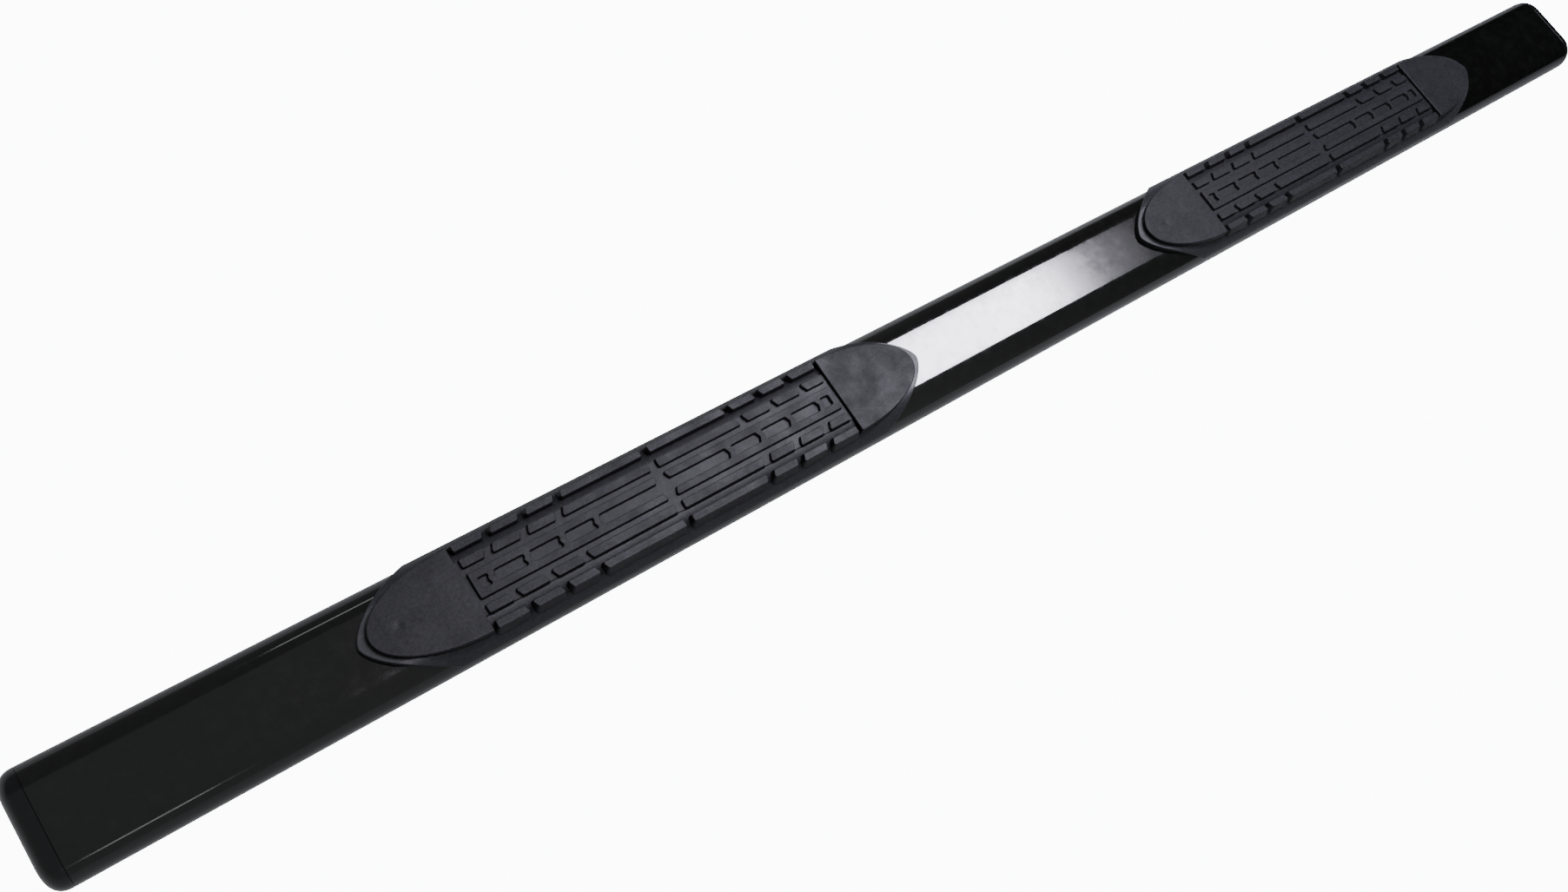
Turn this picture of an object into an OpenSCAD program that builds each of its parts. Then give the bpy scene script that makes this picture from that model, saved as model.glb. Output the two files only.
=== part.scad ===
// Truck running board: a flat-sided oval steel tube with domed end caps and two moulded step pads.
// X runs along the bar, Y across it and Z up. The origin is at the middle of the underside.

/* [Tube] */
// Overall length over both end caps
bar_len = 1981; // [1700:1:2300]
// Width of the oval tube
tube_w = 101.6; // [96:0.2:110]
// Height of the oval tube
tube_h = 50.8; // [48:0.2:54]
// Wall thickness of the tube
tube_wall = 2; // [1.5:0.1:2.5]
// Length of each end cap's dome
cap_len = 18; // [14:0.5:22]
// Depth that each cap's plug reaches into the tube
plug_len = 30; // [20:1:50]

/* [Step pads] */
// Length of a tread between its two end covers
tread_len = 392; // [370:1:420]
// Half width of a tread and of its end covers
pad_half_w = 41.3; // [40:0.1:43]
// Length of a rounded end cover
cover_len = 90.5; // [86:0.5:98]
// Height of a pad's top above the flat of the tube
pad_rise = 10; // [9.5:0.1:12]
// Height of a pad base's lip above the flat of the tube
lip_rise = 4.8; // [4.6:0.1:5.2]
// Width of the lip beyond the tip of an end cover
lip_w = 9.5; // [6:0.5:12]
// How far the pad base's skirts reach below the flat of the tube
skirt_drop = 11; // [8:0.5:13]
// Tube length ahead of the front tread
front_run = 351; // [220:1:420]
// Plain tube between the two treads
middle_run = 520; // [360:1:620]

/* [Tread pattern] */
// Spacing of the chevron gaps along the tread
chevron_pitch = 34.5; // [32:0.5:36]
// Distance from the tread's end to its first chevron gap, on the centreline
chevron_start = 20.5; // [18:0.5:22]
// Slant of the chevron gaps, as run along the bar for each unit across it
chevron_slant = 0.43; // [0:0.01:0.6]
// Width of a gap between blocks
block_gap = 8; // [6:0.5:9]
// Depth of the grooves between blocks
groove_depth = 3.2; // [2:0.1:3.4]

/* [Bracket bosses] */
// Distance from the bar's middle to the outer bracket stations
station_x = 640; // [400:5:800]
// Spacing of the two bosses in a station
boss_pitch = 60; // [40:1:80]
// Radius of the tapped hole in a boss (M8)
boss_bore_r = 4.1; // [4:0.05:5]

/* [Hidden] */
$fn = 64;

eps = 0.01;
tube_len = bar_len - 2 * cap_len;
flat_w = tube_w - tube_h;
flat_z = tube_h;
pad_top_z = flat_z + pad_rise;
lip_z = flat_z + lip_rise;

// End caps: a shell with a plug that grips the tube's inside by three ribs
dome_wall = 4;
plug_gap = 0.2;
plug_wall = 2.5;
plug_cavity_x = 6;
rib_w = 3;
rib_pitch = 24;

// Middles of the two pads along the bar
front_pad_x = -tube_len / 2 + front_run + tread_len / 2;
rear_pad_x = front_pad_x + tread_len + middle_run;

// Pad base: an outer shell around the tube's shoulders, over thin foam strips
foam_t = 1.2;
foam_w = 12;
foam_y = 15;
skirt_t = 3;
skirt_gap = 0.4;
skirt_r = tube_h / 2 + 3.5;
skirt_r_y = tube_w / 2 + skirt_t - skirt_r;
skirt_r_z = lip_z - skirt_r;
base_under_z = flat_z + foam_t;

// The pad base's nose is a superellipse, wider and more pointed than the end cover
nose_len = cover_len + lip_w;
nose_half_w = 60;
nose_pow_x = 1.3;
nose_pow_y = 1.6;
nose_steps = 16;
cover_steps = 20;

// Rows of tread blocks, as lowest and highest distance from the centreline
rail_row = [5.3, 12.3];
inner_row = [18.2, 26.4];
outer_row = [34, pad_half_w];
end_gap = 4.2;
first_slot = 9.6;
web_w = 5.6;
middle_gap = 8.6;
middle_flare = 3.2;
short_blocks = 3;
floor_z = pad_top_z - groove_depth;
tread_skin = 0.8;
footing_gap = 0.4;

// End covers and their push-in clips
cover_wall = 2.5;
clip_x = 64;
post_r = 4;
post_foot_z = 43;
clip_r = 5;
clip_hole_r = 5.2;
clip_flange_r = 7;
clip_flange_t = 0.9;
clip_barb = 1.2;
clip_foot = 4;

// Pad screws and rivet nuts (M6)
screw_x = 30;
screw_y = 14;
screw_r = 3;
screw_foot_z = 39;
head_r = 5.6;
head_h = head_r - screw_r;
head_z = lip_z - 0.2;
socket_r = 2.3;
socket_depth = 1.8;
nut_r = 4.5;
nut_len = 13;
nut_bulge = 2.5;
nut_flange_r = 6;
nut_flange_t = 1;
nut_bore_r = 3.05;

// Bracket bosses and drains in the underside
boss_r = 8;
boss_len = 14;
boss_collar_r = 10;
boss_collar_h = 3;
drain_r = 4;
drain_x = [-880, -320, 320, 880];

// Profiles across the bar, drawn with Y to the right and Z up

module along_x(len) {
    rotate([90, 0, 90]) linear_extrude(len, center = true) children();
}

module oval_profile(w, h) {
    translate([0, tube_h / 2]) {
        square([w - h, h], center = true);
        for (side = [-1, 1]) translate([side * (w - h) / 2, 0]) circle(h / 2);
    }
}

// Outer surface of the pad base, grown outwards by a skin, and closed below so that it can cut other parts
module skirt_profile(skin = 0) {
    r = skirt_r + skin;
    for (side = [-1, 1]) translate([side * skirt_r_y, skirt_r_z]) circle(r);
    translate([-skirt_r_y, skirt_r_z - r]) square([2 * skirt_r_y, 2 * r]);
}

// Outlines seen from above

function nose_x(y) = nose_len * pow(1 - pow(abs(y) / nose_half_w, nose_pow_y), 1 / nose_pow_x);

module base_outline() {
    reach = tube_w / 2 + skirt_t + 0.5;
    ys = [for (i = [-nose_steps:nose_steps]) reach * sin(90 * i / nose_steps)];
    polygon(concat(
        [for (y = ys) [tread_len / 2 + nose_x(y), y]],
        [for (y = ys) [-tread_len / 2 - nose_x(y), -y]]));
}

module cover_outline(inset = 0) {
    a = cover_len - inset;
    b = pad_half_w - inset;
    polygon(concat([[inset, -b * cos(asin(inset / a))]],
        [for (i = [1:cover_steps - 1]) let (t = 180 * i / cover_steps - 90)
            if (a * cos(t) > inset + 1) [a * cos(t), b * sin(t)]],
        [[inset, b * cos(asin(inset / a))]]));
}

// Tube and end caps

module main_tube() {
    color([0.02, 0.02, 0.022]) difference() {
        along_x(tube_len) difference() {
            oval_profile(tube_w, tube_h);
            oval_profile(tube_w - 2 * tube_wall, tube_h - 2 * tube_wall);
        }
        for (x = [front_pad_x, rear_pad_x]) translate([x, 0, flat_z - tube_wall - 1]) {
            at_screws() cylinder(h = tube_wall + 2, r = nut_r);
            at_clips() cylinder(h = tube_wall + 2, r = clip_hole_r);
        }
        for (x = [-station_x, 0, station_x], side = [-1, 1])
            translate([x + side * boss_pitch / 2, 0, -1]) cylinder(h = tube_wall + 2, r = boss_r);
        for (x = drain_x) translate([x, 0, -1]) cylinder(h = tube_wall + 2, r = drain_r);
    }
}

// Dome with a flat-fronted, round-cornered side view, swept round the oval
module dome(len, w, h) {
    reach = h / 2 - len;
    half_flat = (w - h) / 2;
    rotate([90, 0, 0]) linear_extrude(2 * half_flat, center = true) dome_side(len, reach);
    for (side = [-1, 1]) translate([0, side * half_flat, 0])
        rotate([0, 90, 0]) rotate_extrude() intersection() {
            rotate(90) dome_side(len, reach);
            translate([0, -1]) square([h, len + 2]);
        }
}

module dome_side(len, reach) {
    intersection() {
        union() {
            translate([-len, -reach]) square([2 * len, 2 * reach]);
            for (side = [-1, 1]) translate([0, side * reach]) circle(len);
        }
        translate([0, -len - reach - 1]) square(2 * (len + reach + 1));
    }
}

module end_cap() {
    plug_w = tube_w - 2 * tube_wall - 2 * plug_gap;
    plug_h = tube_h - 2 * tube_wall - 2 * plug_gap;
    color([0.02, 0.02, 0.022]) difference() {
        union() {
            translate([0, 0, tube_h / 2]) dome(cap_len, tube_w, tube_h);
            translate([-plug_len / 2 + eps, 0, 0]) along_x(plug_len) oval_profile(plug_w, plug_h);
            for (i = [-1:1]) translate([-plug_len / 2, i * rib_pitch, tube_h / 2])
                cube([plug_len - 6, rib_w, tube_h - 2 * tube_wall], center = true);
        }
        translate([-plug_len / 2, 0, 0]) along_x(plug_len + 2 * plug_cavity_x)
            oval_profile(plug_w - 2 * plug_wall, plug_h - 2 * plug_wall);
        along_x(2 * (cap_len - dome_wall)) oval_profile(tube_w - cap_len, tube_h - cap_len);
    }
}

module front_end_cap() { translate([-tube_len / 2, 0, 0]) mirror([1, 0, 0]) end_cap(); }
module rear_end_cap() { translate([tube_len / 2, 0, 0]) end_cap(); }

// Step pads, each drawn about its own middle

module at_ends() { for (end = [0, 1]) mirror([end, 0, 0]) translate([tread_len / 2, 0, 0]) children(); }
module at_clips() { at_ends() translate([clip_x, 0, 0]) children(); }
module at_screws() { at_ends() for (side = [-1, 1]) translate([screw_x, side * screw_y, 0]) children(); }

module pad_base() {
    color([0.09, 0.09, 0.1]) difference() {
        intersection() {
            along_x(tread_len + 2 * nose_len) skirt_profile();
            translate([0, 0, flat_z - skirt_drop]) linear_extrude(skirt_drop + lip_rise + 1) base_outline();
        }
        along_x(tread_len + 3 * nose_len) {
            oval_profile(tube_w + 2 * skirt_gap, tube_h + 2 * skirt_gap);
            translate([-foam_y - foam_w / 2 - 1, tube_h / 2])
                square([2 * foam_y + foam_w + 2, base_under_z - tube_h / 2]);
        }
        at_clips() cylinder(h = pad_top_z, r = clip_hole_r);
        at_screws() {
            cylinder(h = pad_top_z, r = screw_r + 0.3);
            translate([0, 0, head_z - head_h]) cylinder(h = head_h + 1, r1 = screw_r, r2 = head_r + 1);
        }
    }
}

// A row of blocks in one quarter of the tread; outline points follow the chevron slant
function chevron_x(i, y) = tread_len / 2 - chevron_start - chevron_pitch * i - chevron_slant * y;

module block(outer_x, inner_x, row) {
    polygon([[outer_x[0], row[0]], [outer_x[1], row[1]], [inner_x[1], row[1]], [inner_x[0], row[0]]]);
}

module block_row(row) {
    function edge(i, shift) = [for (y = row) chevron_x(i, y) + shift];
    end_x = tread_len / 2 - end_gap;
    for (i = [0:short_blocks]) {
        outer_x = i == 0 ? [end_x, end_x] : edge(i - 1, -block_gap / 2);
        inner_x = i == short_blocks ? [middle_gap / 2, middle_gap / 2] : edge(i, block_gap / 2);
        block(outer_x, inner_x, row);
    }
}

// Half of the centre panel on one side: a rail, and the webs that join it to the other rail
module centre_panel() {
    end_x = tread_len / 2 - end_gap;
    slot_x = tread_len / 2 - first_slot;
    block([end_x, end_x], [middle_gap / 2 + middle_flare, middle_gap / 2], rail_row);
    translate([slot_x, -eps]) square([end_x - slot_x, rail_row[0] + 2 * eps]);
    web = [-eps, rail_row[0] + eps];
    for (i = [0:short_blocks]) {
        outer_x = [for (y = web) chevron_x(i, y) + web_w / 2];
        inner_x = [for (y = web) chevron_x(i, y) - web_w / 2];
        block(outer_x, inner_x, web);
    }
}

module tread_blocks() {
    for (mx = [0, 1], my = [0, 1]) mirror([mx, 0, 0]) mirror([0, my, 0]) {
        block_row(inner_row);
        block_row(outer_row);
        centre_panel();
    }
}

// The blocks' footing: a flat floor in the middle and a skin over the base's shoulders beside it
module footing_profile(low_z) {
    translate([-inner_row[1], low_z]) square([2 * inner_row[1], floor_z - low_z]);
    intersection() {
        skirt_profile(tread_skin);
        translate([-pad_half_w, low_z]) square([2 * pad_half_w, floor_z - low_z]);
    }
}

module pad_tread() {
    low_z = flat_z - skirt_drop;
    color([0.1, 0.1, 0.115]) difference() {
        union() {
            along_x(tread_len - 2 * footing_gap) footing_profile(low_z);
            translate([0, 0, low_z]) linear_extrude(pad_top_z - low_z) tread_blocks();
        }
        along_x(tread_len + 10) skirt_profile();
    }
}

module end_cover() {
    low_z = flat_z - skirt_drop;
    color([0.1, 0.1, 0.115]) {
        difference() {
            translate([0, 0, low_z]) linear_extrude(pad_top_z - low_z) cover_outline();
            translate([0, 0, low_z - 1]) linear_extrude(pad_top_z - cover_wall - low_z + 1)
                cover_outline(cover_wall);
            along_x(3 * cover_len) skirt_profile();
        }
        translate([clip_x, 0, post_foot_z]) cylinder(h = pad_top_z - 1 - post_foot_z, r = post_r);
    }
}

module front_cover() { mirror([1, 0, 0]) translate([tread_len / 2, 0, 0]) end_cover(); }
module rear_cover() { translate([tread_len / 2, 0, 0]) end_cover(); }

// Countersunk screws with a hexagon socket
module pad_screws() {
    color([0.55, 0.55, 0.57]) at_screws() difference() {
        union() {
            translate([0, 0, screw_foot_z]) cylinder(h = head_z - screw_foot_z, r = screw_r);
            translate([0, 0, head_z - head_h]) cylinder(h = head_h, r1 = screw_r, r2 = head_r);
        }
        translate([0, 0, head_z - socket_depth]) cylinder(h = socket_depth + 1, r = socket_r, $fn = 6);
    }
}

// Rivet nuts set in the tube's top wall
module pad_rivet_nuts() {
    top_z = flat_z + nut_flange_t;
    under_z = flat_z - tube_wall;
    foot_z = flat_z - nut_len;
    color([0.75, 0.68, 0.4]) at_screws() rotate_extrude() polygon([
        [nut_bore_r, top_z], [nut_flange_r, top_z], [nut_flange_r, flat_z], [nut_r, flat_z],
        [nut_r, under_z], [nut_flange_r, under_z], [nut_flange_r, under_z - nut_bulge],
        [nut_r, under_z - nut_bulge - (nut_flange_r - nut_r)], [nut_r, foot_z], [nut_bore_r, foot_z]]);
}

// Push-in clips: a sleeve with a flange above the pad base and a barb below the tube's wall
module cover_clips() {
    top_z = lip_z + clip_flange_t;
    under_z = flat_z - tube_wall - 0.2;
    foot_z = under_z - clip_foot;
    color([0.85, 0.85, 0.8]) at_clips() rotate_extrude() polygon([
        [post_r, top_z], [clip_flange_r, top_z], [clip_flange_r, lip_z], [clip_r, lip_z],
        [clip_r, under_z], [clip_r + clip_barb, under_z], [clip_r, foot_z], [post_r, foot_z]]);
}

module foam_strips() {
    len = tread_len - 20;
    color([0.2, 0.2, 0.2]) for (side = [-1, 1])
        translate([-len / 2, side * foam_y - foam_w / 2, flat_z]) cube([len, foam_w, foam_t]);
}

module at_front_pad() { translate([front_pad_x, 0, 0]) children(); }
module at_rear_pad() { translate([rear_pad_x, 0, 0]) children(); }

// Threaded bosses welded flush into the underside, for the vehicle's brackets
module bracket_bosses(x) {
    color([0.4, 0.4, 0.42]) for (side = [-1, 1]) translate([x + side * boss_pitch / 2, 0, 0])
        difference() {
            union() {
                cylinder(h = boss_len, r = boss_r);
                translate([0, 0, tube_wall]) cylinder(h = boss_collar_h, r = boss_collar_r);
            }
            translate([0, 0, -1]) cylinder(h = boss_len + 2, r = boss_bore_r);
        }
}

main_tube();
front_end_cap();
rear_end_cap();
at_front_pad() pad_base();  // front_pad_base
at_front_pad() pad_tread();  // front_pad_tread
at_front_pad() front_cover();  // front_pad_front_cover
at_front_pad() rear_cover();  // front_pad_rear_cover
at_front_pad() pad_screws();  // front_pad_screws
at_front_pad() pad_rivet_nuts();  // front_pad_rivet_nuts
at_front_pad() cover_clips();  // front_pad_cover_clips
at_front_pad() foam_strips();  // front_pad_foam_strips
at_rear_pad() pad_base();  // rear_pad_base
at_rear_pad() pad_tread();  // rear_pad_tread
at_rear_pad() front_cover();  // rear_pad_front_cover
at_rear_pad() rear_cover();  // rear_pad_rear_cover
at_rear_pad() pad_screws();  // rear_pad_screws
at_rear_pad() pad_rivet_nuts();  // rear_pad_rivet_nuts
at_rear_pad() cover_clips();  // rear_pad_cover_clips
at_rear_pad() foam_strips();  // rear_pad_foam_strips
bracket_bosses(-station_x);  // front_bracket_bosses
bracket_bosses(0);  // middle_bracket_bosses
bracket_bosses(station_x);  // rear_bracket_bosses
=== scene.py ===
"""Looks for the truck running board: gloss black oval tube, domed end caps and two moulded step pads.

Shapes are worked out in millimetres in the frame's axes (X along the bar, Y across it, Z up) and turned
into metres when a mesh is made. Places along the bar come from the CAD nodes' boxes. Lights, camera and
materials are given in metres.
"""

import math

import bmesh
import bpy
import numpy as np
from mathutils import Matrix, Vector
from mathutils.geometry import tessellate_polygon


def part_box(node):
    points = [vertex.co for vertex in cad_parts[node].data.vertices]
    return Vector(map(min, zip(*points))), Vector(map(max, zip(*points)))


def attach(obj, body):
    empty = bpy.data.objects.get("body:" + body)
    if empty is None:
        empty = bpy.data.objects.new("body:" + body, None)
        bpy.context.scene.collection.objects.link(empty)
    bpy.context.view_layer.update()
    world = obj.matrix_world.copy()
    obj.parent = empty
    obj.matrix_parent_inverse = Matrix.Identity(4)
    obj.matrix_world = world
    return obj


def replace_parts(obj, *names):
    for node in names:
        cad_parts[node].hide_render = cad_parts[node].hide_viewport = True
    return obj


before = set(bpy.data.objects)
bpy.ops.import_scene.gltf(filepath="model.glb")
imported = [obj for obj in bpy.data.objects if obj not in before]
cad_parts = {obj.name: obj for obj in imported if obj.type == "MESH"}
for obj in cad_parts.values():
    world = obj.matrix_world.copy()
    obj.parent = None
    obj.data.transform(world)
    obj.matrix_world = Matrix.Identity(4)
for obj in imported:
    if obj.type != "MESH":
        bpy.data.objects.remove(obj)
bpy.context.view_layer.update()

MM = 0.001

# How finely the meshes are made
SHARP_DEG = 40.0
CIRCLE_STEPS = 48
STRAIGHT_DEG = 172.0  # corners flatter than this aren't rounded
CORNER_SHARE = 0.45  # how much of a side one rounded corner may take up
MITRE_LIMIT = 0.3  # keeps an inset at a sharp corner from running far out

# Oval tube
TUBE_W = 101.6
TUBE_H = 50.8
TUBE_WALL = 2.0
SHOULDER_R = TUBE_H / 2
SHOULDER_Y = (TUBE_W - TUBE_H) / 2
FLAT_Z = TUBE_H
SHOULDER_STEPS = 40
SEAM_R = 0.3  # bevel that draws the joint between the tube and a cap

# End caps
CAP_LEN = 18.0
CAP_POWER = 2.6
CAP_STEPS = 26
PLUG_LEN = 30.0
PLUG_GAP = 0.2
PLUG_WALL = 2.5
PLUG_CHAMFER = 0.6
PLUG_CAVITY_X = 6.0  # how far the plug's hollow reaches into the dome

# Pad base: a shell over the tube's shoulders, with a lip round the nose at each end
PAD_TOP_Z = FLAT_Z + 10.0
LIP_Z = FLAT_Z + 4.8
TREAD_LEN = 392.0
PAD_HALF_W = 41.3
SKIRT_R = SHOULDER_R + 3.5
SKIRT_Y = TUBE_W / 2 + 3.0 - SKIRT_R
SKIRT_CENTRE_Z = LIP_Z - SKIRT_R
SKIRT_LOW_Z = FLAT_Z - 11.0
NOSE_LEN = 100.0
NOSE_HALF_W = 60.0
NOSE_POWER_X = 1.3
NOSE_POWER_Y = 1.6
LIP_EDGE_R = 1.0
LIP_EDGE_STEPS = 5
SKIRT_STEPS = 26
LIP_STEPS = 16
COLUMN_SHARES = [1.0, 0.97, 0.9, 0.8, 0.65, 0.5, 0.35, 0.2, 0.0]  # of half the base's length

# End covers: half ellipses, each held by a post that leaves a faint sink mark above it
COVER_LEN = 90.5
COVER_WALL = 2.5
COVER_EDGE_R = 0.8
COVER_CORNER_R = 1.0
COVER_STEPS = 72
POST_X = 64.0  # from the tread's end
SINK_R = 4.0
SINK_DEPTH = 0.4
# Rings round the sink mark, as shares of the way from it to the cover's edge
TOP_SHARES = (0.985, 0.9, 0.7, 0.5, 0.35, 0.25, 0.18, 0.13, 0.09, 0.06, 0.03)

# Tread pattern: rows as nearest and furthest distance from the centreline, and chevron gaps across them
RAIL_ROW = (5.3, 12.3)
INNER_ROW = (18.2, 26.4)
OUTER_ROW = (34.0, PAD_HALF_W)
CHEVRON_PITCH = 34.5
CHEVRON_START = 20.5  # from the tread's end to its first chevron, on the centreline
CHEVRON_SLANT = 0.43
SHORT_BLOCKS = 3
BLOCK_GAP = 8.0
WEB_W = 5.6  # between the slots in the centre panel
END_GAP = 4.2  # from the tread's end to its first blocks
FIRST_SLOT = 9.6  # from the tread's end to the panel's first slot
MIDDLE_GAP = 8.6
MIDDLE_FLARE = 3.2  # how much further from the middle a rail's inner corner is than its outer one
FLOOR_Z = PAD_TOP_Z - 3.2
TREAD_SKIN = 0.8  # rubber over the base in the outer grooves
SKIN_POINTS = 13
UNDER_POINTS = 25
FOOTING_GAP = 0.4  # from the tread's end to its floor
BLOCK_EDGE_R = 0.5
BLOCK_CORNER_R = 1.6
BLOCK_DRAFT = 0.8  # how far a wall leans out between a block's top and the groove floor
SUNK = 0.3  # how far pieces of a pad reach into the surface below them

# Holes in the tube's bottom and top walls
STATIONS_X = (-640.0, 0.0, 640.0)
BOSS_PITCH = 60.0
BOSS_R = 8.0
DRAINS_X = (-880.0, -320.0, 320.0, 880.0)
DRAIN_R = 4.0
SCREW_X = 30.0  # from the tread's end
SCREW_Y = 14.0
NUT_R = 4.5
CLIP_HOLE_R = 5.2
CUTTER_PAST = 1.0  # how far a cutter reaches past the wall on each side

# Colours, as darkest and lightest
TUBE_BLACK = ((0.0014, 0.0015, 0.0013), (0.0030, 0.0031, 0.0028))
CAP_BLACK = ((0.0014, 0.0015, 0.0018), (0.0032, 0.0034, 0.0039))
PAD_BLACK = ((0.0045, 0.0046, 0.0054), (0.0125, 0.0126, 0.0148))
BASE_BLACK = ((0.010, 0.0105, 0.0118), (0.018, 0.019, 0.021))
SCREW_STEEL = ((0.50, 0.50, 0.52), (0.62, 0.62, 0.64))
NUT_ZINC = ((0.58, 0.48, 0.25), (0.68, 0.62, 0.38))
BOSS_STEEL = ((0.10, 0.10, 0.105), (0.16, 0.16, 0.165))
CLIP_WHITE = ((0.68, 0.66, 0.58), (0.80, 0.78, 0.71))
FOAM_BLACK = ((0.012, 0.012, 0.012), (0.04, 0.04, 0.04))
FLOOR_GREY = ((0.09, 0.093, 0.095), (0.11, 0.113, 0.115))

# Specular IOR Levels
CAP_SPECULAR = 0.4
PAD_SPECULAR = 0.13
BASE_SPECULAR = 0.22

# Sockets of a Mix node that mixes colours
MIX_FACTOR = 0
MIX_COLOURS = (6, 7)
MIX_RESULT = 2

# Light from the studio's walls and ceiling, dimmer from beyond the bar's rear end and from its far side.
# Each range is where a direction's part along that axis starts to dim it and where it stops.
WORLD_LIGHT = 0.42
REAR_DIMS = (0.50, 0.76)
REAR_SHARE = 0.05
FAR_DIMS = (0.28, 0.40)
FAR_SHARE = 0.55

# Floor and walls, as bright as this to the camera alone
BACKDROP_GLOW = 12.0
BACKDROP_COLOUR = (0.97, 0.985, 1.0)
FLOOR_HALF = 30.0
FLOOR_DROP = 0.0005

# The floor's light in reflections, at the start and the end of a range of X
FLOOR_MIRRORED = (0.36, 0.03)
FLOOR_FADES = (0.2, 1.2)

# Ceiling panels that the tube mirrors. A fade is a list of shares of a panel's length and of its light.
PANEL_Z = 2.05
PANEL_COLOUR = (0.89, 0.88, 1.0)
PANEL_FADE = [(0.684, 1.0), (0.755, 0.72), (0.787, 0.5), (0.823, 0.2), (0.858, 0.08), (0.89, 0.035),
              (1.0, 0.02)]
EVEN_LIGHT = [(0.0, 1.0), (1.0, 1.0)]

# Camera, as the photograph was taken: above and beside the front end, looking along the bar
CAMERA_AT = (-0.9052, -0.3107, 1.2318)
CAMERA_RIGHT = (0.79038, -0.55195, 0.26581)
CAMERA_AHEAD = (0.44379, 0.21674, -0.86953)
CAMERA_LENS = 33.83
CAMERA_SENSOR = 36.0
CAMERA_CLIP = 0.01


# ---------------------------------------------------------------- materials

def new_material(name, base, roughness, metallic=0.0):
    material = bpy.data.materials.new(name)
    material.use_nodes = True
    shader = material.node_tree.nodes["Principled BSDF"]
    shader.inputs["Base Color"].default_value = (*base, 1.0)
    shader.inputs["Roughness"].default_value = roughness
    shader.inputs["Metallic"].default_value = metallic
    return material, shader


def add_node(owner, kind, **settings):
    """Adds a node to a material or the world."""
    made = owner.node_tree.nodes.new(kind)
    for key, value in settings.items():
        setattr(made, key, value)
    return made


def link(owner, output, socket):
    owner.node_tree.links.new(output, socket)


def coordinates(owner, kind):
    return add_node(owner, "ShaderNodeTexCoord").outputs[kind]


def split_axes(owner, kind):
    """Outputs named X, Y and Z for one kind of coordinates."""
    split = add_node(owner, "ShaderNodeSeparateXYZ")
    link(owner, coordinates(owner, kind), split.inputs["Vector"])
    return split.outputs


def noise(material, scale, detail=3.0, rough=0.55, stretch=(1.0, 1.0, 1.0)):
    """Noise over the object's own coordinates, in metres, so that its scale is features per metre."""
    mapping = add_node(material, "ShaderNodeMapping")
    mapping.inputs["Scale"].default_value = stretch
    texture = add_node(material, "ShaderNodeTexNoise")
    texture.inputs["Scale"].default_value = scale
    texture.inputs["Detail"].default_value = detail
    texture.inputs["Roughness"].default_value = rough
    link(material, coordinates(material, "Object"), mapping.inputs["Vector"])
    link(material, mapping.outputs["Vector"], texture.inputs["Vector"])
    return texture.outputs["Fac"]


def spread(owner, value, low, high, start=0.3, end=0.7):
    """Goes from low to high as a value goes from start to end, and stays there beyond them."""
    ramp = add_node(owner, "ShaderNodeMapRange")
    ramp.inputs["From Min"].default_value = start
    ramp.inputs["From Max"].default_value = end
    ramp.inputs["To Min"].default_value = low
    ramp.inputs["To Max"].default_value = high
    link(owner, value, ramp.inputs["Value"])
    return ramp.outputs["Result"]


def multiplied(owner, a, b):
    """The product of an output and another output or a number."""
    product = add_node(owner, "ShaderNodeMath", operation="MULTIPLY")
    for value, socket in zip((a, b), product.inputs):
        if isinstance(value, float):
            socket.default_value = value
        else:
            link(owner, value, socket)
    return product.outputs["Value"]


def pale_to_camera(owner, unseen):
    """The backdrop's glow for what the camera sees itself, and another value for all other light."""
    rays = add_node(owner, "ShaderNodeLightPath")
    mix = add_node(owner, "ShaderNodeMix", data_type="FLOAT")
    mix.inputs["B"].default_value = BACKDROP_GLOW
    link(owner, rays.outputs["Is Camera Ray"], mix.inputs["Factor"])
    link(owner, unseen, mix.inputs["A"])
    return mix.outputs["Result"]


def colour_by(material, shader, fac, colours):
    """Gives the shader a base colour between two, dark where fac is 0 and light where it is 1."""
    mix = add_node(material, "ShaderNodeMix", data_type="RGBA")
    for number, colour in zip(MIX_COLOURS, colours):
        mix.inputs[number].default_value = (*colour, 1.0)
    link(material, fac, mix.inputs[MIX_FACTOR])
    link(material, mix.outputs[MIX_RESULT], shader.inputs["Base Color"])


def bump(material, shader, layers):
    """Bump layers as (height, strength, distance in metres), each built on the one before."""
    previous = None
    for height, strength, distance in layers:
        made = add_node(material, "ShaderNodeBump")
        made.inputs["Strength"].default_value = strength
        made.inputs["Distance"].default_value = distance
        link(material, height, made.inputs["Height"])
        if previous is not None:
            link(material, previous, made.inputs["Normal"])
        previous = made.outputs["Normal"]
    link(material, previous, shader.inputs["Normal"])


def gloss_black():
    """Black powder coat: slightly wavy, with orange peel and a little dust."""
    material, shader = new_material("tube_gloss_black", base=(0.002, 0.002, 0.002), roughness=0.07)
    waviness = noise(material, scale=14.0, detail=1.0, stretch=(0.5, 1.0, 1.0))
    peel = noise(material, scale=520.0, detail=2.0)
    dust = noise(material, scale=90.0, detail=5.0, rough=0.65)
    dusty = spread(material, dust, low=0.0, high=1.0, start=0.45, end=0.75)
    colour_by(material, shader, dusty, TUBE_BLACK)
    link(material, spread(material, dust, low=0.05, high=0.13), shader.inputs["Roughness"])
    bump(material, shader, [(waviness, 0.2, 0.0006), (peel, 0.05, 0.0001)])
    return material


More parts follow.
